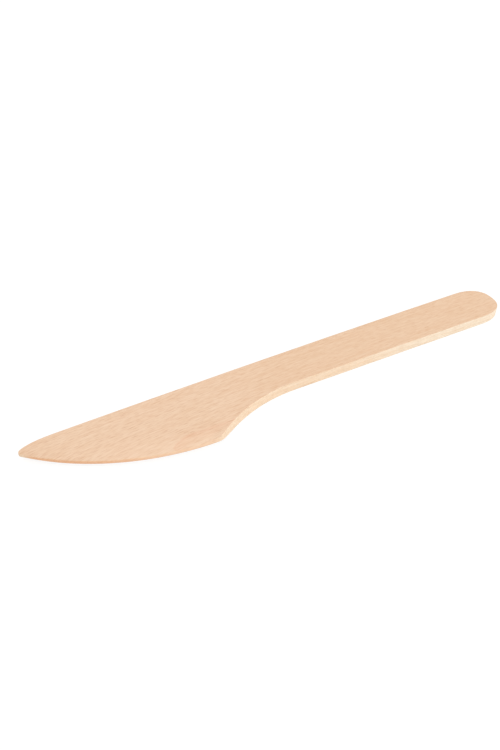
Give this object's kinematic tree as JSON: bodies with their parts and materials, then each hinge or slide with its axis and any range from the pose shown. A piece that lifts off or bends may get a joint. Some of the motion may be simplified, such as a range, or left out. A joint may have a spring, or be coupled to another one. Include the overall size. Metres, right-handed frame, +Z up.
{
  "type": "butter knife",
  "caption": "Flat solid-wood butter knife with a straight round-ended handle, a hollow neck and a broad blade ground thin along its curved belly.",
  "frame": {"origin": "middle of the knife's box, on the table plane that the flat underside lies on", "axes": "+X from the tip of the blade to the end of the handle, +Y towards the back of the knife, +Z up, square to the flat faces"},
  "size_m": [0.2, 0.03, 0.004],
  "materials": {
    "beech": "matte"
  },
  "bodies": {
    "root": {"knife_body": "beech"}
  },
  "joints": []
}
